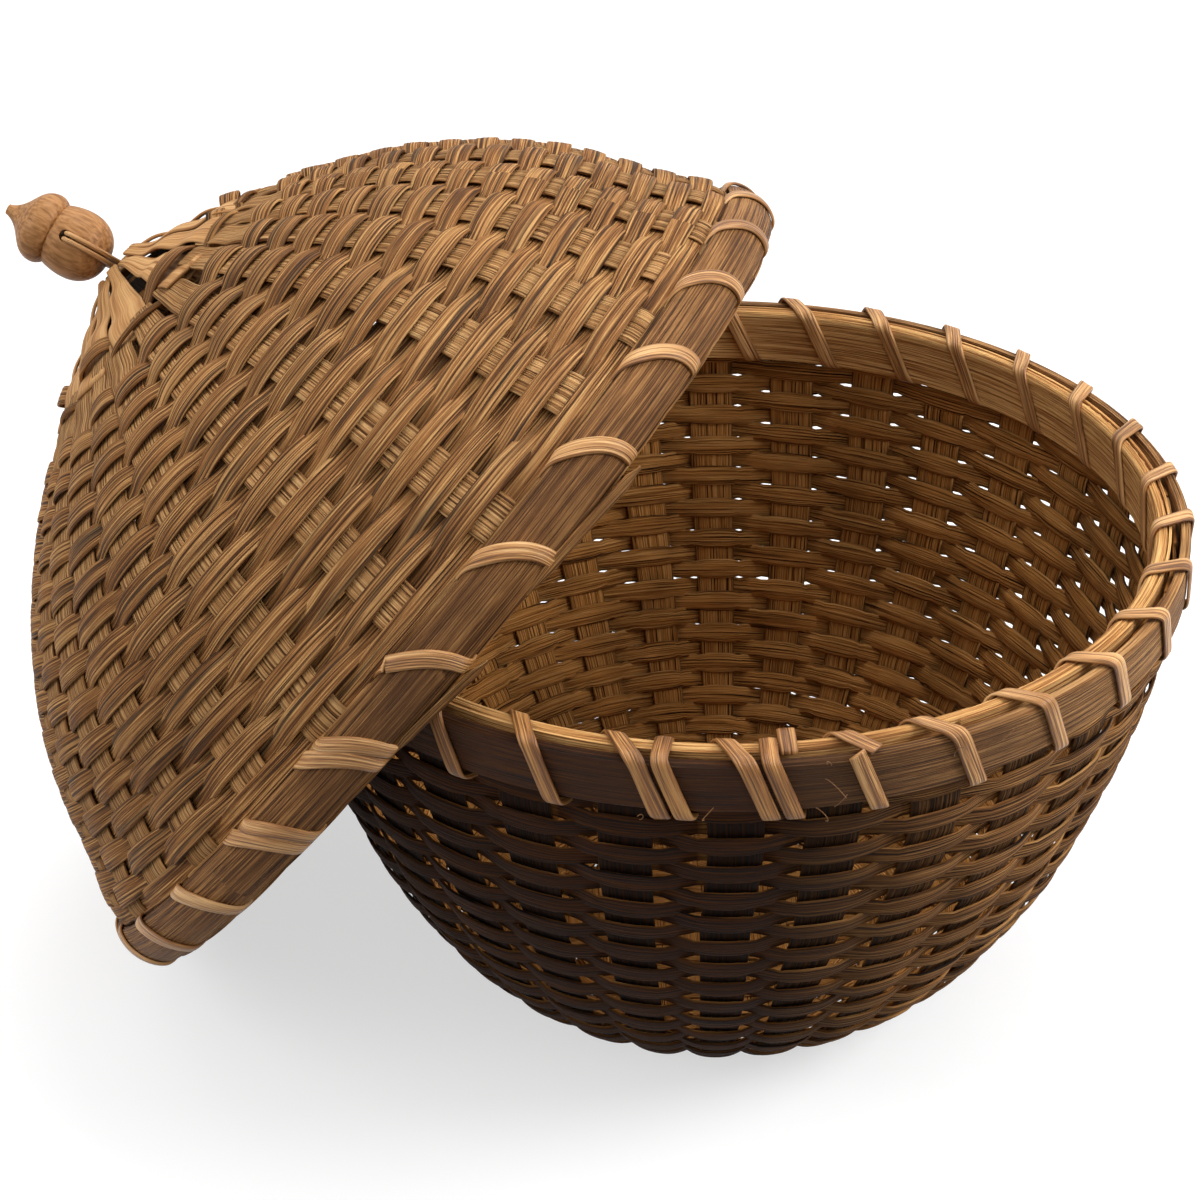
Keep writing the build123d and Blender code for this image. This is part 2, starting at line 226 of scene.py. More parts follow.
class Profile:
    """The middle of a wall in section, by the distance along it, with its outward direction."""

    def __init__(self, radius, height):
        inset = wall_thickness / 2
        run_r, run_z = np.gradient(radius), np.gradient(height)
        size = np.hypot(run_r, run_z)
        out_r, out_z = run_z / size, -run_r / size
        if np.mean(out_r) < 0:
            out_r, out_z = -out_r, -out_z
        self.r = radius - inset * out_r
        self.z = height - inset * out_z
        self.s = gone_along(np.stack([self.r, self.z], -1))
        self.out_r, self.out_z = out_r, out_z
        self.length = self.s[-1]

    def at(self, s, lift):
        """Radius and height of the points that stand out from the middle by a lift."""
        out_r = np.interp(s, self.s, self.out_r)
        out_z = np.interp(s, self.s, self.out_z)
        return np.interp(s, self.s, self.r) + lift * out_r, np.interp(s, self.s, self.z) + lift * out_z

    def radius(self, s):
        return np.interp(s, self.s, self.r)

    def where_height(self, height):
        """Distance along the profile to a height, for a profile that only climbs or only falls."""
        order = np.argsort(self.z)
        return float(np.interp(height, self.z[order], self.s[order]))


def bowl_profile():
    """The bowl's wall swells from its base to a shoulder, and is upright above it."""
    share = np.linspace(0, 1, 600) ** 1.6
    swell = (1 - (1 - share) ** 1.28) ** 0.4425
    upright = np.linspace(bowl_shoulder, bowl_height - 3, 40)[1:]
    radius = base_radius + (bowl_weave_radius - base_radius) * swell
    radius = np.concatenate([radius, np.full(upright.size, bowl_weave_radius)])
    return Profile(radius, np.concatenate([share * bowl_shoulder, upright]))


def lid_profile():
    """The lid's wall is upright at its rim, and then a dome."""
    dome_points = [
        (lid_weave_radius, lid_shoulder), (138.5, 36.0), (123.5, 65.0), (95.8, 95.8), (59.5, 121.0),
        (33.0, 135.0), (1.0, lid_height),
    ]
    dome = smooth_curve(dome_points, (0, 1), (-1, 0.3))
    upright = np.linspace(1.0, lid_shoulder, 30)[:-1]
    radius = np.concatenate([np.full(upright.size, lid_weave_radius), dome[:, 0]])
    return Profile(radius, np.concatenate([upright, dome[:, 1]]))


class Wall:
    """A woven wall: its profile, how its points are placed, and where hoops press its rows flat."""

    def __init__(self, profile, place, spread, pressed_from, pressed_to):
        self.profile, self.place, self.spread = profile, place, spread
        self.pressed_from, self.pressed_to = pressed_from, pressed_to

    def points(self, s, lift, angle):
        """Points that stand out from the middle of the wall by a lift, and the way out at each."""
        turned = self.spread(angle, s)
        radius, height = self.profile.at(s, lift)
        out_r, out_z = self.profile.at(s, lift + 1.0)
        middle = self.place(radius, turned, height)
        return middle, self.place(out_r, turned, out_z) - middle

    def freedom(self, s):
        """How freely rows swing in and out: 1, and less between the hoops."""
        pressed = (s - self.pressed_from) / (self.pressed_to - self.pressed_from)
        return 1 - hoop_press * np.clip(pressed, 0, 1)


class Strips:
    """Flat strips gathered into one mesh. Every strip has its own grain through its UVs."""

    def __init__(self):
        self.points, self.faces, self.uvs, self.deep, self.back = [], [], [], [], []
        self.count = 0
        self.strip = 0

    def add(self, middle, normal, width, thickness, section=split_section, closed=False, depth=0.0):
        """A strip along the points of its middle line; its good side faces the normals.

        Depth, from -1 to 1, is how far out it runs, which the material shows.
        """
        middle = np.asarray(middle, float)
        n, m = len(middle), len(section)
        width, thickness, depth = (
            np.broadcast_to(np.asarray(value, float), (n,)) for value in (width, thickness, depth)
        )
        if closed:
            ahead = np.roll(middle, -1, 0) - np.roll(middle, 1, 0)
        else:
            ahead = np.gradient(middle, axis=0)
        ahead /= np.linalg.norm(ahead, axis=1)[:, None] + 1e-12
        normal = normal - ahead * np.sum(normal * ahead, 1)[:, None]
        normal /= np.linalg.norm(normal, axis=1)[:, None] + 1e-12
        across = np.cross(ahead, normal)
        points = (
            middle[:, None, :]
            + across[:, None, :] * (section[None, :, 0] * width[:, None])[..., None]
            + normal[:, None, :] * (section[None, :, 1] * thickness[:, None])[..., None]
        )
        rows = n if closed else n - 1
        i, j = np.meshgrid(np.arange(rows), np.arange(m), indexing="ij")
        k, l = (i + 1) % n, (j + 1) % m
        quads = np.stack([i * m + j, k * m + j, k * m + l, i * m + l], -1).reshape(-1, 4)

        # U is metres along the strip, from a place of its own. V is the strip's number and a share
        # across it, with a small margin at each edge.
        along = np.concatenate([[0], np.cumsum(np.linalg.norm(np.diff(middle, axis=0), axis=1))]) * MM
        if closed:
            along = np.concatenate([along, [along[-1] + along[1]]])
        u = along + (self.strip * 0.613 + rng.uniform(0, 1))
        v = self.strip + 0.02 + 0.96 * (np.concatenate([section[:, 0], section[:1, 0]]) + 0.5)
        corners = ((i, j), (i + 1, j), (i + 1, j + 1), (i, j + 1))
        uv = np.stack([np.stack([u[a], v[b]], -1) for a, b in corners], -2).reshape(-1, 2)

        self.points.append(points.reshape(-1, 3))
        self.faces.append(quads + self.count)
        self.uvs.append(uv)
        self.deep.append(np.repeat(depth, m))
        self.back.append(np.tile(np.clip(-4 * section[:, 1], 0, 1), n))
        if not closed:
            for end, turn in ((0, 1), (n - 1, -1)):
                cap = (np.arange(m) + end * m)[::turn]
                for step in range(1, m - 2, 2):
                    quad = np.array([cap[0], cap[step], cap[step + 1], cap[(step + 2) % m]])
                    self.faces.append(quad[None, :] + self.count)
                    self.uvs.append(np.full((4, 2), (u[end], self.strip + 0.5)))
        self.count += n * m
        self.strip += 1

    def make(self, name, body, material, slot, *nodes):
        """The mesh object that rides on a body and stands for the nodes."""
        points = np.concatenate(self.points) * MM
        faces = np.concatenate(self.faces)
        mesh = bpy.data.meshes.new(name)
        mesh.vertices.add(len(points))
        mesh.vertices.foreach_set("co", points.astype(np.float32).ravel())
        mesh.loops.add(faces.size)
        mesh.loops.foreach_set("vertex_index", faces.astype(np.int32).ravel())
        mesh.polygons.add(len(faces))
        mesh.polygons.foreach_set("loop_start", np.arange(0, faces.size, 4, dtype=np.int32))
        mesh.polygons.foreach_set("loop_total", np.full(len(faces), 4, np.int32))
        mesh.polygons.foreach_set("use_smooth", np.ones(len(faces), bool))
        layer = mesh.uv_layers.new(name="strip")
        layer.data.foreach_set("uv", np.concatenate(self.uvs).astype(np.float32).ravel())
        for kind, values in (("deep", self.deep), ("back", self.back)):
            attribute = mesh.attributes.new(kind, "FLOAT", "POINT")
            attribute.data.foreach_set("value", np.concatenate(values).astype(np.float32))
        mesh.update()
        mesh.validate()
        mesh.materials.append(material)
        place_piece(bpy.data.objects.new(name, mesh), body, slot, *nodes)


def place_piece(piece, body, slot, *nodes):
    """Puts a piece in the scene, on its body and in place of the nodes; its slot is not used."""
    bpy.context.scene.collection.objects.link(piece)
    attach(piece, body)
    if nodes:
        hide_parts(*nodes)


class Nodes:
    """Short ways to add and join the nodes of a material or a world."""

    def __init__(self, owner, end):
        owner.use_nodes = True
        self.owner = owner
        self.tree = owner.node_tree
        self.end = self.tree.nodes[end]

    def add(self, kind, **settings):
        node = self.tree.nodes.new(kind)
        for key, value in settings.items():
            setattr(node, key, value)
        return node

    def set(self, **values):
        """Constants for the end node's own sockets, with _ for the spaces in their names."""
        for name, value in values.items():
            self.end.inputs[name.replace("_", " ")].default_value = value

    def link(self, source, target):
        self.tree.links.new(source, target)

    def math(self, operation, a, b=None, clamp=False):
        node = self.add("ShaderNodeMath", operation=operation, use_clamp=clamp)
        for socket, value in zip(node.inputs, (a, b)):
            if value is None:
                continue
            if isinstance(value, (int, float)):
                socket.default_value = value
            else:
                self.link(value, socket)
        return node.outputs[0]

    def parts(self, vector):
        """The outputs X, Y and Z of a vector."""
        node = self.add("ShaderNodeSeparateXYZ")
        self.link(vector, node.inputs[0])
        return node.outputs

    def scaled(self, vector, scale):
        node = self.add("ShaderNodeMapping")
        node.inputs["Scale"].default_value = scale
        self.link(vector, node.inputs["Vector"])
        return node.outputs[0]

    def turned(self, vector, angles):
        node = self.add("ShaderNodeVectorRotate", rotation_type="EULER_XYZ")
        self.link(vector, node.inputs["Vector"])
        node.inputs["Rotation"].default_value = angles
        return node.outputs[0]

    def place(self):
        """The place in the piece's mesh, which is its place at rest in metres."""
        return self.add("ShaderNodeTexCoord").outputs["Object"]

    def strip_uv(self):
        return self.add("ShaderNodeUVMap", uv_map="strip").outputs["UV"]

    def attribute(self, name):
        return self.add("ShaderNodeAttribute", attribute_name=name).outputs["Fac"]

    def noise(self, vector, scale, detail, rough):
        node = self.add("ShaderNodeTexNoise")
        node.inputs["Scale"].default_value = scale
        node.inputs["Detail"].default_value = detail
        node.inputs["Roughness"].default_value = rough
        self.link(vector, node.inputs["Vector"])
        return node.outputs["Fac"]

    def ramp(self, value, places, colours):
        node = self.add("ShaderNodeValToRGB")
        ramp = node.color_ramp
        while len(ramp.elements) < len(places):
            ramp.elements.new(0.5)
        for element, place, colour in zip(ramp.elements, places, colours):
            element.position = place
            element.color = (*colour, 1)
        self.link(value, node.inputs["Fac"])
        return node.outputs["Color"]

    def mix(self, kind, factor, a, b):
        """Two colours mixed. The node has other sockets for numbers and vectors between these."""
        node = self.add("ShaderNodeMix", data_type="RGBA", blend_type=kind)
        sockets = (node.inputs[0], node.inputs[6], node.inputs[7])
        for socket, value in zip(sockets, (factor, a, b)):
            if isinstance(value, (int, float)):
                socket.default_value = value
            elif isinstance(value, tuple):
                socket.default_value = (*value, 1)
            else:
                self.link(value, socket)
        return node.outputs[2]


def linear(*levels):
    """A colour written in the usual 0 to 255 values."""
    return tuple(((v / 255 + 0.055) / 1.055) ** 2.4 if v > 10 else v / 255 / 12.92 for v in levels)


def tones(*colours):
    """Several colours, such as the dark, middle and light tones of fibres."""
    return tuple(linear(*colour) for colour in colours)


def shaded_away_from_lamps(nodes, colour, place, whole, gone, dark):
    """The colour, darkened by painted shade round the basket on the sides that face away from the
    lamps.

    Whole and gone are the cosines to that way at which the darkening is so.
    """
    way = nodes.add("ShaderNodeVectorMath", operation="NORMALIZE")
    nodes.link(nodes.scaled(place, (1, 1, 0)), way.inputs[0])
    facing = nodes.add("ShaderNodeVectorMath", operation="DOT_PRODUCT")
    nodes.link(way.outputs[0], facing.inputs[0])
    facing.inputs[1].default_value = lit_way
    reach = nodes.add("ShaderNodeMapRange")
    nodes.link(facing.outputs["Value"], reach.inputs["Value"])
    reach.inputs["From Min"].default_value = whole
    reach.inputs["From Max"].default_value = gone
    return nodes.mix("MULTIPLY", nodes.math("SUBTRACT", 1.0, reach.outputs[0]), colour, dark)


def inside(nodes):
    """How much of a strip's tone is that of the inside: all on its back, some where it runs in."""
    deep, back = nodes.attribute("deep"), nodes.attribute("back")
    runs_in = nodes.math("SUBTRACT", -2.8, nodes.math("MULTIPLY", deep, 4.4), clamp=True)
    return nodes.math("MAXIMUM", nodes.math("MULTIPLY", runs_in, 0.45), back)


def above(nodes, value, threshold, slope):
    """How far a value is above a threshold, from 0 to 1."""
    return nodes.math("MULTIPLY", nodes.math("SUBTRACT", value, threshold), slope, clamp=True)


def weighed(nodes, a, weight_a, b, weight_b):
    """The sum of two values by their weights."""
    first = nodes.math("MULTIPLY", a, weight_a)
    return nodes.math("ADD", first, nodes.math("MULTIPLY", b, weight_b))


def grain_material(name, grain, shades, grime, bump, roughness, soil, under=None, char=0.0, edge=0.0,
                   coat=0.0, gloss=0.3, side_shade=None):
    """Split bamboo or cane. Grain gives, in a material's nodes, the place along and across it.

    Shades are the dark, middle and light tones of the fibres, and grime what sits in the grooves
    and, by soil, in patches. Under has the tones of the inside. Char is how much is scorched, and
    edge how much painted shade darkens a strip's edges. The side shade has the cosines and the
    dark tone of the painted shade on the sides that face away from the lamps.
    """
    tone_places = (0.39, 0.45, 0.51, 0.59)
    patch_scale = 24.0
    groove_depth = 0.0012
    nodes = Nodes(bpy.data.materials.new(name), "Principled BSDF")
    along, fine, place = grain(nodes)
    streaks = nodes.noise(along, 1.0, 4.0, 0.65)
    fibres = nodes.noise(fine, 1.0, 3.0, 0.6)
    tone = weighed(nodes, streaks, 0.32, fibres, 0.68)

    def toned(colours):
        return nodes.ramp(tone, tone_places, (grime, *colours))

    colour = toned(shades)
    # Painted shade, darker on the sides of the basket that face away from the lamps.
    if side_shade:
        colour = shaded_away_from_lamps(nodes, colour, place, *side_shade)
    if under:
        colour = nodes.mix("MIX", inside(nodes), colour, toned(under))
    patches = nodes.noise(place, patch_scale, 3.0, 0.6)
    stain = nodes.math("MULTIPLY", nodes.math("SUBTRACT", 0.56, patches), 3.0 * soil, clamp=True)
    colour = nodes.mix("MIX", stain, colour, grime)
    if char:
        scorch = nodes.noise(nodes.scaled(along, (0.9, 0.5, 1)), 1.0, 2.0, 0.5)
        scorch = nodes.math("MULTIPLY", above(nodes, scorch, 0.56, 9.0), char)
        colour = nodes.mix("MIX", scorch, colour, linear(44, 36, 28))
    # Painted shade: each strip is darker at its edges, in the grime tone, where it meets its
    # neighbours.
    if edge:
        v = nodes.parts(nodes.strip_uv())["Y"]
        off = nodes.math("ABSOLUTE", nodes.math("SUBTRACT", nodes.math("FRACT", v), 0.5))
        shaded = nodes.math("MULTIPLY", above(nodes, off, 0.36, 9.0), edge)
        colour = nodes.mix("MIX", shaded, colour, grime)
    nodes.link(colour, nodes.end.inputs["Base Color"])
    nodes.set(Roughness=roughness, Specular_IOR_Level=gloss)
    if coat:
        nodes.set(Coat_Weight=coat, Coat_Roughness=0.3)
    bumps = nodes.add("ShaderNodeBump")
    bumps.inputs["Strength"].default_value = bump
    bumps.inputs["Distance"].default_value = groove_depth
    nodes.link(weighed(nodes, fibres, 1.5, streaks, 0.6), bumps.inputs["Height"])
    nodes.link(bumps.outputs["Normal"], nodes.end.inputs["Normal"])
    return nodes.owner


def strip_grain(lengthwise, across):
    """Grain that follows the strips of a Strips mesh."""

    def build(nodes):
        uv = nodes.strip_uv()
        place = nodes.place()
        broad = nodes.scaled(uv, (lengthwise, across * 0.6, 1))
        return broad, nodes.scaled(uv, (lengthwise * 1.6, across, 1)), place

    return build


def hoop_grain(middle, angles, radius):
    """Grain that runs round a hoop, from its middle and the turn that lays it level."""

    def build(nodes):
        place = nodes.place()
        shift = nodes.add("ShaderNodeVectorMath", operation="SUBTRACT")
        nodes.link(place, shift.inputs[0])
        shift.inputs[1].default_value = middle
        parts = nodes.parts(nodes.turned(shift.outputs[0], angles))
        x, y = parts["X"], parts["Y"]
        angle = nodes.math("ARCTAN2", y, x)
        round_way = nodes.math("MULTIPLY", nodes.math("ADD", angle, 3.2), radius * MM)
        square = nodes.math("ADD", nodes.math("MULTIPLY", x, x), nodes.math("MULTIPLY", y, y))
        join = nodes.add("ShaderNodeCombineXYZ")
        nodes.link(round_way, join.inputs["X"])
        nodes.link(parts["Z"], join.inputs["Y"])
        nodes.link(nodes.math("SQRT", square), join.inputs["Z"])
        broad = nodes.scaled(join.outputs[0], (14, 950, 950))
        return broad, nodes.scaled(join.outputs[0], (26, 2400, 2400)), place

    return build


def wood_grain(nodes):
    """Grain along the knob's axis."""
    place = nodes.place()
    turned = nodes.turned(place, (0, knob_droop, 0))
    return nodes.scaled(turned, (300, 300, 40)), nodes.scaled(turned, (900, 900, 120)), place


# Materials
# The level way from which the lamps light the basket: painted shade darkens the sides turned from it.
lit_way = (0.63, 0.77, 0.0)
sooty = tones((86, 53, 26), (150, 101, 57), (214, 160, 100))
warm = tones((163, 106, 50), (200, 138, 71), (220, 164, 98))
golden = tones((106, 66, 33), (168, 114, 64), (218, 168, 107))
bowl_hoop_grain = hoop_grain((0, 0, 0), (0, 0, 0), 140)
lid_hoop_grain = hoop_grain(tuple(lid_middle * MM), (0, lean, 0), 150)

bowl_weave_skin = grain_material(
    "bowl_weavers", strip_grain(14, 13.0), sooty, linear(34, 21, 11), bump=1.0, roughness=0.7,
    soil=0.5, under=warm, edge=0.15, gloss=0.1, side_shade=(-0.52, -0.05, linear(98, 77, 44))
)
bowl_stake_skin = grain_material(
    "bowl_stake_strips", strip_grain(16, 26.0), tones((52, 33, 17), (96, 64, 36), (152, 108, 66)),
    linear(26, 16, 9), bump=1.0, roughness=0.75, soil=0.4, under=warm, edge=0.2, gloss=0.1,
    side_shade=(-0.52, 0.1, linear(84, 66, 40))
)
lid_weave_skin = grain_material(
    "lid_weavers", strip_grain(14, 13.0), golden, linear(66, 41, 21), bump=1.0, roughness=0.65,
    soil=0.4, char=0.7, edge=0.15, gloss=0.16
)
lid_apex_skin = grain_material(
    "lid_apex_strips", strip_grain(10, 8.0), tones((170, 122, 75), (192, 144, 92), (212, 166, 112)),
    linear(130, 87, 49), bump=0.6, roughness=0.65, soil=0.3, edge=0.35, gloss=0.14
)
lid_stake_skin = grain_material(
    "lid_stake_strips", strip_grain(16, 26.0),
    tones((134, 90, 50), (190, 138, 84), (226, 180, 122)), linear(80, 50, 27), bump=1.0,
    roughness=0.7, soil=0.25, edge=0.15, gloss=0.14
)
bowl_hoop_skin = grain_material(
    "bowl_hoops", bowl_hoop_grain, tones((174, 118, 64), (212, 156, 92), (236, 188, 122)),
    linear(136, 88, 46), bump=0.7, roughness=0.6, soil=0.2, gloss=0.16
)
bowl_outer_hoop_skin = grain_material(
    "bowl_outer_hoop", bowl_hoop_grain, tones((116, 76, 41), (162, 113, 66), (204, 154, 98)),
    linear(78, 50, 27), bump=0.9, roughness=0.6, soil=0.7, gloss=0.16,
    side_shade=(-0.52, 0.0, linear(102, 79, 44))
)
lid_hoop_skin = grain_material(
    "lid_hoops", lid_hoop_grain, tones((104, 66, 34), (141, 95, 53), (180, 131, 80)),
    linear(72, 45, 23), bump=0.9, roughness=0.6, soil=0.8, gloss=0.16
)
cane_skin = grain_material(
    "cane", strip_grain(20, 7.0), tones((126, 80, 40), (168, 114, 62), (206, 152, 92)),
    linear(84, 51, 25), bump=0.6, roughness=0.42, soil=0.3, edge=0.25, char=0.25, coat=0.1
)
lid_splint_skin = grain_material(
    "lid_splint_ends", strip_grain(16, 14.0), golden, linear(54, 33, 17), bump=1.0, roughness=0.65,
    soil=0.5, edge=0.2, gloss=0.16
)
light_cane_skin = grain_material(
    "light_cane", strip_grain(20, 7.0), tones((150, 100, 54), (194, 140, 84), (226, 178, 120)),
    linear(104, 66, 34), bump=0.6, roughness=0.42, soil=0.2, edge=0.2, char=0.25, coat=0.1
)
knob_skin = grain_material(
    "knob_wood", wood_grain, tones((146, 100, 58), (164, 116, 70), (182, 132, 84)),
    linear(128, 86, 48), bump=0.12, roughness=0.5, soil=0.35, gloss=0.2
)


def weave(wall, strips, rows, phase, swing, width, thickness, uneven, seed, count=stake_count,
          notch=0.0, lowest=None):
    """Rows of strips that go over one stake and under the next, and back again in the next row.

    Rows are pairs of a number and a place along the wall. Uneven is how far a row strays from its
    place, and notch how much it narrows beside a stake's edge, where light comes through. No point
    of the strips comes below the lowest height.
    """
    steps = 12
    flatness = 1.15
    inward_share = 0.8
    pinch = 0.08
    beside_at, beside_spread = 0.55, 0.17
    angle = np.arange(stake_count * steps) * pitch / steps
    for row, at in rows:

        def change(size, waves, stream):
            return wander(angle, size, waves, seed * stream + row)

        turn = np.cos((angle - phase) * count / 2) * (-1) ** row
        wave = np.tanh(flatness * turn) / np.tanh(flatness)
        s = at + change(uneven, 8, 3)
        lift = swing * wall.freedom(s) * np.where(wave < 0, inward_share, 1) * wave
        lift = lift * (1 + change(0.10, 9, 11))
        middle, normal = wall.points(s, lift, angle)
        tilt = 0.09 * change(1.0, 9, 5)
        along = np.roll(middle, -1, 0) - middle
        along /= np.linalg.norm(along, axis=1)[:, None]
        normal = normal + tilt[:, None] * np.cross(along, normal)
        beside = np.exp(-(((np.abs(turn) - beside_at) / beside_spread) ** 2))
        open_here = np.clip(1 + change(0.9, 31, 13), 0, 1.7)
        narrow = 1 - pinch * (1 - np.abs(turn)) ** 1.4 - notch * beside * open_here
        narrow = width * narrow * (1 + change(0.06, 12, 7))
        if lowest is not None:
            middle[:, 2] = np.maximum(middle[:, 2], lowest + 0.6 * thickness)
        strips.add(middle, normal, narrow, thickness, closed=True, depth=wave)
        if lowest is not None:
            strips.points[-1][:, 2] = np.maximum(strips.points[-1][:, 2], lowest)


def stakes(wall, strips, angles, span, first_row, spacing, width, thickness, dip, seed, parity=0,
           flare=0.0, sunk=0.0):
    """Upright strips that the rows go round, a little pushed in where a row goes over.

    Width is a function of the radius. Flare is how far they stand out at their upper end, and sunk
    how far the whole lies inside.
    """
    step = 1.5
    flare_length = 20
    aside, bend_aside = 0.3, 0.22
    for index, at in enumerate(angles):
        source = np.random.default_rng(seed + index)
        s = np.linspace(*span, int((span[1] - span[0]) / step))
        angle = at + radians(source.normal() * aside) + 0 * s
        bends = source.normal(size=7) * radians(bend_aside)
        angle = angle + np.interp(s, np.linspace(*span, 7), bends)
        wave = np.cos(pi * (s - first_row) / spacing) * (-1) ** (index + parity)
        flared = flare * np.clip((s - span[1] + flare_length) / flare_length, 0, 1) ** 2
        middle, normal = wall.points(s, flared - sunk - dip * wave, angle)
        strips.add(middle, normal, width(wall.profile.radius(s)), thickness, depth=-wave)


def row_places(numbers, first, spacing):
    return [(row, first + spacing * row) for row in numbers]


def make_bowl():
    """The bowl's weave and stakes. Its hoops press the rows flat above a height."""
    shape = bowl_profile()
    pressed = [shape.where_height(z) for z in (bowl_inner_hoop_bottom - 8, bowl_hoop_bottom)]
    wall = Wall(shape, bowl_place, bowl_angle, *pressed)
    strips = Strips()
    rows = row_places(range(-1, 34), bowl_first_row, bowl_spacing)
    weave(wall, strips, rows, bowl_stake_phase, strip_swing, width=7.0, thickness=strip_thickness,
          uneven=0.45, seed=100, notch=0.17, lowest=0.2)
    strips.make("bowl_weavers", "bowl", bowl_weave_skin, "weave", "bowl_wall")

    strips = Strips()
    stakes(wall, strips, bowl_stake_phase + pitch * np.arange(stake_count),
           (0.0, shape.length - 0.5), bowl_first_row, bowl_spacing,
           lambda r: np.clip(r * 0.114, 4.8, 15.6), stake_thickness, stake_dip, seed=300)
    strips.make("bowl_stake_strips", "bowl", bowl_stake_skin, "stakes", "bowl_stakes")


def make_mat():
    """The bowl's bottom, where the stakes cross each other in a mat."""
    mat_pitch = 9.2
    level, rise, points = 1.55, 0.75, 60
    turned_by = 0.3
    strips = Strips()
    for way in (0, 1):
        for lane in range(-5, 6):
            aside = lane * mat_pitch
            if abs(aside) > base_radius - 3:
                continue
            half = sqrt((base_radius + 1.5) ** 2 - aside**2)
            along = np.linspace(-half, half, points)
            wave = rise * np.sin(pi * (along / mat_pitch + 0.5)) * (-1) ** (lane + way)
            across = 0 * along + aside
            x, y = (along, across) if way else (across, along)
            middle = np.stack(
                [
                    x * cos(turned_by) - y * sin(turned_by),
                    x * sin(turned_by) + y * cos(turned_by),
                    level + wave,
                ],
                -1,
            )
            down = np.tile((0.0, 0.0, -1.0), (points, 1))
            strips.add(middle, down, 8.9, strip_thickness, depth=-wave)
    strips.make("bowl_bottom_mat", "bowl", bowl_stake_skin, "stakes", "bowl_base")


def make_lid():
    """The lid's weave and stakes. Its hoops press the rows flat towards the rim.

    Two rows above the fork go round the wide strips there. A second layer of strips lies inside
    the apex and shows in the gaps of the first; its dark tones, the bowl's stake tones, are painted
    shade in those gaps.
    """
    shape = lid_profile()
    wall = Wall(shape, lid_place, lid_angle, 24.0, 15.0)
    fork_at = float(np.interp(-fork_radius, -shape.r, shape.s))
    wide_phase = lid_stake_phase + pitch / 2
    wide_count = stake_count // 2
    wide_angles = wide_phase + 2 * pitch * np.arange(wide_count)
    lower_row, upper_row = zip(fork_rows, fork_row_places)

    strips = Strips()
    rows = row_places(range(fork_rows[0]), lid_first_row, lid_spacing)
    weave(wall, strips, rows, lid_stake_phase, strip_swing, width=7.3, thickness=strip_thickness,
          uneven=0.4, seed=500)
    weave(wall, strips, [lower_row], wide_phase, swing=2.0, width=2.6, thickness=strip_thickness,
          uneven=1.6, seed=620, count=wide_count)
    weave(wall, strips, [upper_row], wide_phase, swing=2.7, width=6.6, thickness=1.2, uneven=1.1,
          seed=640, count=wide_count)
    strips.make("lid_weavers", "lid", lid_weave_skin, "weave", "lid_wall")

    strips = Strips()
    stakes(wall, strips, lid_stake_phase + pitch * np.arange(stake_count), (0.5, fork_at + 4),
           lid_first_row, lid_spacing, lambda r: np.minimum(9.6 + r * 0.034, r * 0.2094 * 0.97),
           stake_thickness, stake_dip, seed=700)
    strips.make("lid_stake_strips", "lid", lid_stake_skin, "stakes", "lid_stakes")

    strips = Strips()
    stakes(wall, strips, wide_angles, (fork_at - 3, shape.length - 7.0), fork_row_places[1],
           apex_row_spacing, lambda r: np.clip(r * 0.38, 4.2, 15.5), strip_thickness, dip=0.7,
           seed=800, parity=1, flare=2.4)
    strips.make("lid_apex_strips", "lid", lid_apex_skin, "stakes")

    # The inner layer of crossing stakes, in the bowl's dark stake tones as painted shade in the gaps.
    strips = Strips()
    stakes(wall, strips, wide_angles + pitch, (fork_at + 4, shape.length - 8.0),
           fork_row_places[1], apex_row_spacing, lambda r: np.clip(r * 0.46, 3.4, 17.0),
           strip_thickness, dip=0.0, seed=860, parity=1, sunk=2.6)
    strips.make("lid_apex_shaded_lining", "lid", bowl_stake_skin, "stakes")


def bend(radius, height, size, turns):
    """Stations round a bend: their radius, height and the direction that faces out of it."""
    return [(radius + size * cos(radians(t)), height + size * sin(radians(t)), t) for t in turns]


def bowl_stations():
    """Stations of a wrap on the bowl's rim: down its outside, and back by its inside."""
    spare = lashing_corner - lashing_lift
    outside, inside_radius = rim_radius - spare, bowl_inner_hoop_radius + spare
    top, bottom = bowl_height - spare, bowl_inner_hoop_bottom + spare
    face = [(outside, top, (45, 0)), (outside, bottom, (0, -45))]
    rest = [
        (outside, bottom, (-90,)),
        (inside_radius, bottom, (-90, -135, -180)),
        (inside_radius, top, (-180, -225, -270)),
        (outside, top, (-270,)),
    ]
    return [
        [station for radius, height, turns in bends
         for station in bend(radius, height, lashing_corner, turns)]
        for bends in (face, rest)
    ]


def lid_stations():
    """Stations of a wrap on the lid's rim: over its outer hoop, and back over the inner one."""
    back = lid_rim_radius - 3.7
    inner = lid_inner_hoop_radius
    face = bend(lid_rim_radius - lid_outer_round, 8.0, lid_outer_round + lashing_lift,
                (40, 24, 8, -8, -24, -40))
    rest = (
        bend(back, 0, lashing_lift, (-66, -95))
        + bend(inner, 0.5, lashing_lift + 0.3, (-118,))
        + bend(inner - 3.8 + lid_inner_round, 7.5, lid_inner_round + lashing_lift + 0.1,
               (-138, -152, -166, -180, -194, -208, -222))
        + bend(inner, 14.5, lashing_lift + 0.3, (-242,))
        + bend(back, 16.0, lashing_lift, (-265, -294))
    )
    return face, rest


def wrap_angles(phase, first, drift, doubled, double):
    """Start angles of one length's wraps, some of them double, as the frame has them."""
    angles = []
    for wrap in range(wraps):
        angle = phase + wrap_pitch * (first + wrap)
        angle += drift * sin(radians(angle - drift_from))
        angles.append(angle)
        if wrap in doubled:
            angles.append(angle + double)
    return angles


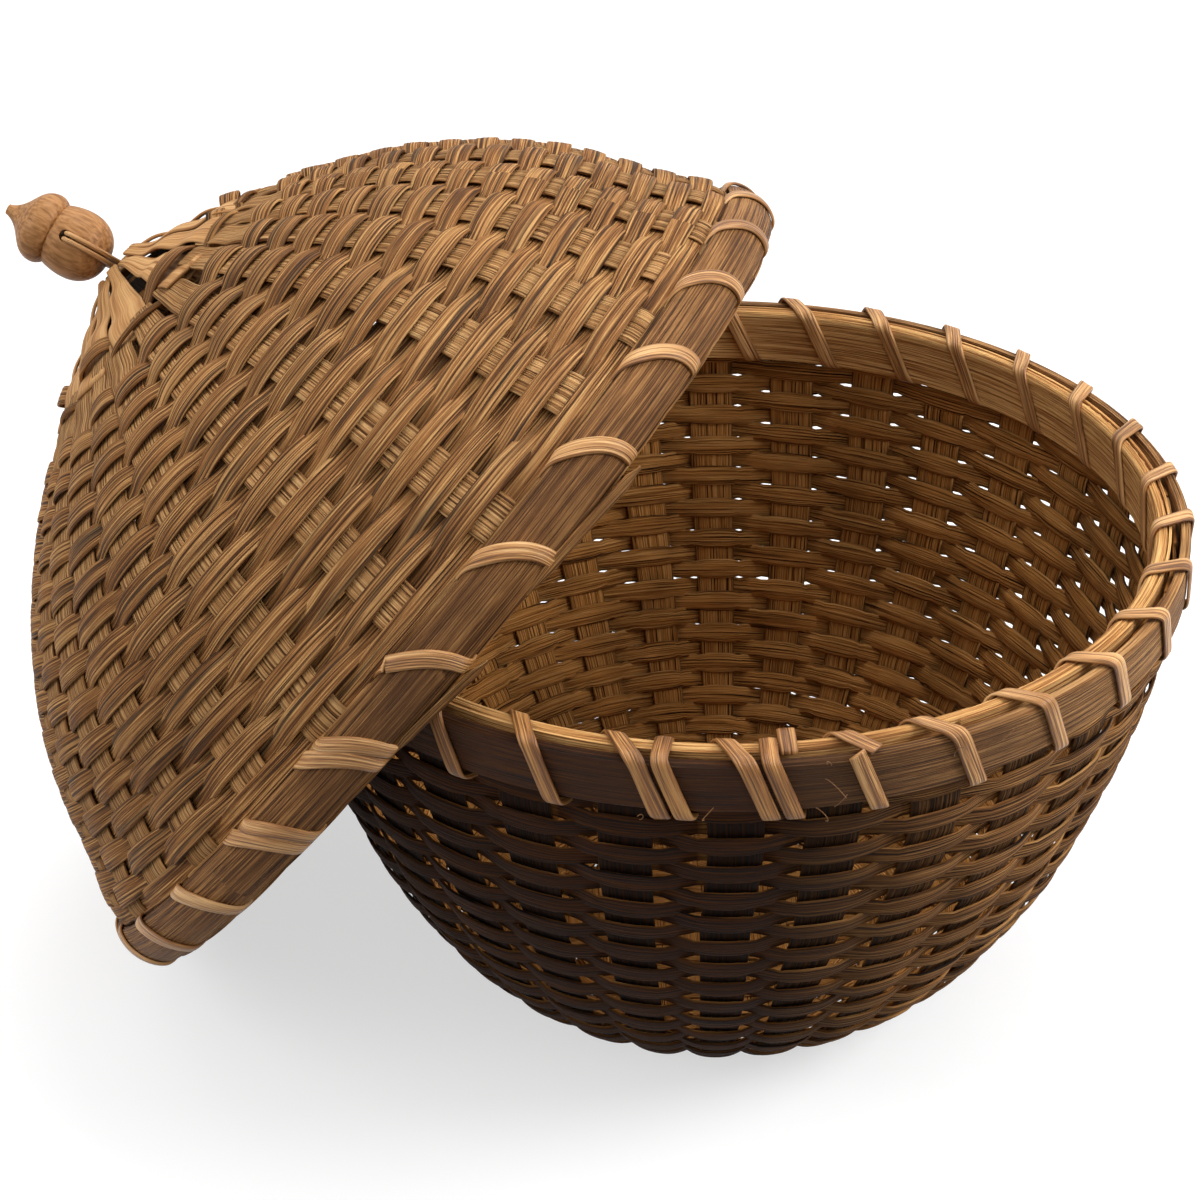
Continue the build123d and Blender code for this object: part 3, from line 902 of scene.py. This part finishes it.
def lashing_route(angles, face, rest, slant, hook):
    """Radius, angle, height and facing of a strip wound round a rim, in short steps.

    With a hook above 1 a wrap runs along the hoop at first, and then turns across it.
    """
    step_length = 0.7
    stations = face + rest
    gone = gone_along(np.array(stations + stations[:1])[:, :2])
    crossed = gone[len(face) - 1]
    route = []
    for index, angle in enumerate(angles):
        following = angles[index + 1] if index + 1 < len(angles) else angle + wrap_pitch
        left = following - angle - slant
        for step, (radius, height, turn) in enumerate(stations):
            if step < len(face):
                at = angle + slant * (1 - (1 - gone[step] / crossed) ** hook)
            else:
                at = angle + slant + left * ((gone[step] - crossed) / (gone[-1] - crossed)) ** 1.5
            route.append((radius, radians(at), height, radians(turn - 360 * index)))
    route = np.array(route)
    fine = [route[:1]]
    for here, there in zip(route, route[1:]):
        span = np.hypot(there[0] - here[0], there[2] - here[2])
        steps = max(1, round(span / step_length))
        fine.append(here + (there - here) * (np.arange(steps) + 1)[:, None] / steps)
    return smoothed(np.concatenate(fine), passes=14)


def make_lashings():
    """Two lengths of rounded cane on each rim."""
    for rim, place, phase, drift, double, (face, rest), slant, hook in (
        ("bowl", bowl_place, 10.2, 0.0, 2.6, bowl_stations(), 3.0, 1.0),
        ("lid", lid_frame, 8.5, 9.0, 2.0, lid_stations(), 5.0, 2.0),
    ):
        for length, first, doubled in (("front", 9, (13, 14)), ("back", 24, ())):
            angles = wrap_angles(phase, first, drift, doubled, double)
            route = lashing_route(angles, face, rest, slant, hook)
            radius, angle, height, turn = route.T
            middle = place(radius, angle, height)
            normal = place(radius + np.cos(turn), angle, height + np.sin(turn)) - middle
            change = wander(np.linspace(0, 60, len(radius)), 0.05, 6, first)
            strips = Strips()
            strips.add(middle, normal, lashing_width * (1 + change), lashing_thickness, cane_section)
            name = f"{rim}_lashing_{length}"
            # On the bowl the back length, round the lit right and back, takes the lighter cane as
            # painted light, and the front length the darker cane; the lid's lashings take the lighter
            # cane as their own colour.
            skin = cane_skin if (rim, length) == ("bowl", "front") else light_cane_skin
            strips.make(name + "_cane", rim, skin, "lashing", name)


def make_tie():
    """The tie, two strands side by side through the knob and down to the apex.

    Its line goes along the knob's hole and up its axis: half of it is given, from the foot.
    """
    strand_thickness, apart = 1.6, 0.95
    half = [
        (1.6, -4.6), (2.6, -3.0), (4.6, -1.2), (7.2, 0.6), (9.6, 3.2), (11.1, 6.0), (11.9, 9.0),
        (11.9, 11.0), (10.8, 12.5), (8.5, 12.6), (4.0, 12.6),
    ]
    points = np.array(half + [(-a, b) for a, b in reversed(half)], float)
    gone = gone_along(points)
    where = np.linspace(0, gone[-1], 140)
    line = np.stack([np.interp(where, gone, points[:, axis]) for axis in (0, 1)], -1)
    line = smoothed(line, passes=5)
    hole_way = knob_across * sin(hole_turn) - sideways * cos(hole_turn)
    hole_side = np.cross(knob_axis, hole_way)
    strips = Strips()
    for side in (-apart, apart):
        middle = knob_foot + line[:, :1] * hole_way + line[:, 1:] * knob_axis + side * hole_side
        facing = np.tile(hole_side, (len(middle), 1))
        strips.add(middle, facing, strand_width, strand_thickness, round_section)
    strips.make("knob_tie_strands", "knob", light_cane_skin, "tie", "knob_tie")


def make_knob():
    """The knob, turned about its own axis so that its hole faces as in the photograph."""
    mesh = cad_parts["knob"].data.copy()
    mesh.transform(
        Matrix.Translation(Vector(knob_foot * MM))
        @ Matrix.Rotation(hole_turn, 4, Vector(knob_axis))
        @ Matrix.Translation(Vector(-knob_foot * MM))
    )
    mesh.materials.clear()
    mesh.materials.append(knob_skin)
    place_piece(bpy.data.objects.new("turned_knob", mesh), "knob", "knob", "knob")


def make_knot():
    """The knot inside the apex, wound twice from the same strand."""
    turns, points = 9, 500
    middle = apex - lid_axis * (wall_thickness + 9)
    wind = np.linspace(0, 2 * pi * turns, points)
    lean_in = 1.15 * np.sin(wind * 0.31)
    around = np.stack(
        [
            np.cos(wind) * np.cos(lean_in),
            np.sin(wind) * np.cos(lean_in * 0.4),
            np.sin(lean_in) + 0.2 * np.cos(wind * 2),
        ],
        -1,
    )
    around /= np.linalg.norm(around, axis=1)[:, None]
    strips = Strips()
    for radius, way in ((4.2, around), (3.9, np.roll(around, 1, 1))):
        strips.add(middle + radius * way, way, strand_width, 1.4, round_section)
    strips.make("tie_knot_strands", "lid", cane_skin, "tie", "tie_knot")


def make_hoop_lap():
    """A lapped end on the lid's outer hoop, a crowned strip that ends in a tongue."""
    start, end, points = 262, 299, 90
    broad, height = 11.5, 7.6
    along = np.radians(np.linspace(start, end, points))
    radius = lid_rim_radius - 0.5 + (0.12 + 0.38 * np.linspace(0, 1, points))
    tongue = broad * np.sqrt(np.clip((float(end) - np.degrees(along)) / 1.8, 0.02, 1))
    level = 0 * along + height
    middle = lid_frame(radius, along, level)
    normal = lid_frame(radius + 1, along, level) - middle
    across = np.linspace(-0.5, 0.5, 9)
    outer = [(a, 0.5 - 5.2 * a**2) for a in across]
    inner = [(a, -0.5 - 5.2 * a**2) for a in across[::-1][1:-1]]
    strips = Strips()
    strips.add(middle, normal, tongue, tongue / broad + 0.02, np.array(outer + inner))
    strips.make("lid_hoop_lap", "lid", lid_hoop_skin, "hoop")


def make_splint_ends():
    """Two broken ends of the filler splint, which stand out of the lid's mouth."""
    share = np.linspace(0, 1, 60)
    strips = Strips()
    for start, end, broad in ((309.0, 327.5, 5.2), (287.0, 301.5, 4.4)):
        along = np.radians(start + (end - start) * share)
        radius = 149.6 - 0.4 * share
        height = -0.6 - 3.2 * share**1.6
        middle = lid_frame(radius, along, height)
        outward = lid_frame(radius + 0.75, along, height - 1.0) - middle
        taper = broad * np.clip(share * 5, 0.2, 1) * np.clip((1 - share) * 9, 0.25, 1)
        strips.add(middle, outward, taper, 0.8)
    strips.make("lid_splint_ends", "lid", lid_splint_skin, "splint")


def make_rim_ends():
    """Cut ends of cane on the bowl's rim, and stray fibres that curl out of its front."""
    fibre_width, fibre_thickness, fibre_points = 0.24, 0.2, 26
    strips = Strips()
    line = np.linspace(0, 1, 8)
    for at, width, reach, rise in ((291.2, 5.0, 7.5, 1.6), (247.0, 3.2, 5.0, 2.4)):
        height = 160.6 + (1.6 + rise) * line**0.6
        middle = bowl_place(135.0 - reach * line, radians(at) + 0 * line, height)
        strips.add(middle, np.tile((0.0, 0.0, 1.0), (8, 1)), width, 1.1, cane_section)
    source = np.random.default_rng(41)
    for _ in range(8):
        at = radians(source.uniform(262, 318))
        height = source.uniform(140, 161)
        curl = np.linspace(0, source.uniform(1.5, 4.5), fibre_points)
        size = source.uniform(3.0, 7.0)
        way = source.choice((-1, 1))
        step = np.cumsum(np.cos(curl + source.uniform(0, 6)) * size / fibre_points) * way
        climb = np.cumsum(np.sin(curl) * size / fibre_points) * source.choice((-1, 1)) * 1.2
        away = 2.0 * np.linspace(0, 1, fibre_points) ** 2 * source.uniform(0.3, 1)
        radius = rim_radius + 1.2 + away
        angle = at + step / rim_radius
        middle = bowl_place(radius, angle, height + climb)
        outward = bowl_place(radius + 1, angle, height + climb) - middle
        strips.add(middle, outward, fibre_width, fibre_thickness, round_section)
    strips.make("bowl_rim_ends", "bowl", cane_skin, "lashing")


def finish_hoops():
    """Better finishes on the pieces that the frame has right."""
    for skin, kept_nodes in (
        (bowl_outer_hoop_skin, ("bowl_outer_hoop",)),
        (bowl_hoop_skin, ("bowl_inner_hoop", "bowl_splint")),
        (lid_hoop_skin, ("lid_outer_hoop", "lid_inner_hoop", "lid_splint")),
    ):
        for node in kept_nodes:
            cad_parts[node].data.materials[0] = skin


def make_camera():
    """The camera, at the photograph's viewing angle, from pixels of the photograph."""
    forward = flat_away * cos(camera_elevation) - np.array((0.0, 0.0, sin(camera_elevation)))
    up = np.cross(right, forward)
    rim_middle = np.array((0.0, 0.0, bowl_height))
    aside = (rim_pixels_right * right + rim_pixels_up * up) * rim_distance / focal_pixels
    eye = rim_middle - aside - forward * rim_distance
    rolled_right = cos(camera_roll) * right + sin(camera_roll) * up
    rolled_up = -sin(camera_roll) * right + cos(camera_roll) * up
    data = bpy.data.cameras.new("camera")
    data.sensor_width = sensor_width
    data.lens = focal_pixels / frame_pixels * sensor_width
    data.clip_start = 0.01
    data.clip_end = 20.0
    camera = bpy.data.objects.new("camera", data)
    bpy.context.scene.collection.objects.link(camera)
    turn = np.stack([rolled_right, rolled_up, -forward], 1)
    camera.matrix_world = Matrix.Translation(Vector(eye * MM)) @ Matrix(turn.tolist()).to_4x4()
    bpy.context.scene.camera = camera


def area_light(name, rightward, away, upward, size, power):
    """A soft lamp that faces the basket, from a place given as the camera sees it, in metres."""
    data = bpy.data.lights.new(name, "AREA")
    data.shape = "DISK"
    data.size = size
    data.energy = power
    lamp = bpy.data.objects.new(name, data)
    bpy.context.scene.collection.objects.link(lamp)
    place = Vector(rightward * right + away * flat_away + np.array((0, 0, upward)))
    lamp.location = place
    lamp.rotation_mode = "QUATERNION"
    lamp.rotation_quaternion = (Vector((-0.02, 0, 0.08)) - place).to_track_quat("-Z", "Y")


def ray_switch(nodes):
    """1 for rays that see the background straight, in gloss or through glass."""
    path = nodes.add("ShaderNodeLightPath")
    both = nodes.math("MAXIMUM", path.outputs["Is Camera Ray"], path.outputs["Is Glossy Ray"])
    return nodes.math("MAXIMUM", both, path.outputs["Is Transmission Ray"])


def make_world():
    """Soft light that is strongest from above, and plain white where the background is seen."""
    sky_level, sky_above = 0.16, 0.95
    world = bpy.data.worlds.new("studio")
    bpy.context.scene.world = world
    nodes = Nodes(world, "Background")
    nodes.set(Color=(1, 1, 1, 1))
    way = nodes.parts(nodes.add("ShaderNodeTexCoord").outputs["Generated"])
    soft = nodes.math("ADD", nodes.math("MULTIPLY", way["Z"], sky_above, clamp=True), sky_level)
    strength = nodes.add("ShaderNodeMix", data_type="FLOAT")
    nodes.link(ray_switch(nodes), strength.inputs[0])
    nodes.link(soft, strength.inputs[2])
    strength.inputs[3].default_value = 1.0
    nodes.link(strength.outputs[0], nodes.end.inputs["Strength"])


def make_floor():
    """A floor that takes shadows, a little lit from within where it is seen."""
    bpy.ops.mesh.primitive_plane_add(size=12)
    floor = bpy.context.object
    floor.name = "floor"
    nodes = Nodes(bpy.data.materials.new("floor"), "Principled BSDF")
    nodes.set(Roughness=0.9, Specular_IOR_Level=0.1, Emission_Color=(1, 1, 1, 1))
    seen = ray_switch(nodes)
    shade = nodes.mix("MIX", seen, linear(110, 108, 105), linear(180, 180, 180))
    nodes.link(shade, nodes.end.inputs["Base Color"])
    nodes.link(nodes.math("MULTIPLY", seen, 0.6), nodes.end.inputs["Emission Strength"])
    floor.data.materials.append(nodes.owner)


for make in (
    make_bowl, make_mat, make_lid, make_lashings, make_tie, make_knob, make_knot, make_hoop_lap,
    make_splint_ends, make_rim_ends, finish_hoops, make_camera
):
    make()
area_light("key", 1.25, -0.15, 0.9, size=0.7, power=17)
area_light("top", 0.1, 0.5, 1.5, size=0.8, power=9)
area_light("left", -1.3, -0.3, 0.9, size=0.8, power=7)
make_world()
make_floor()
bpy.context.scene.view_settings.view_transform = "Standard"
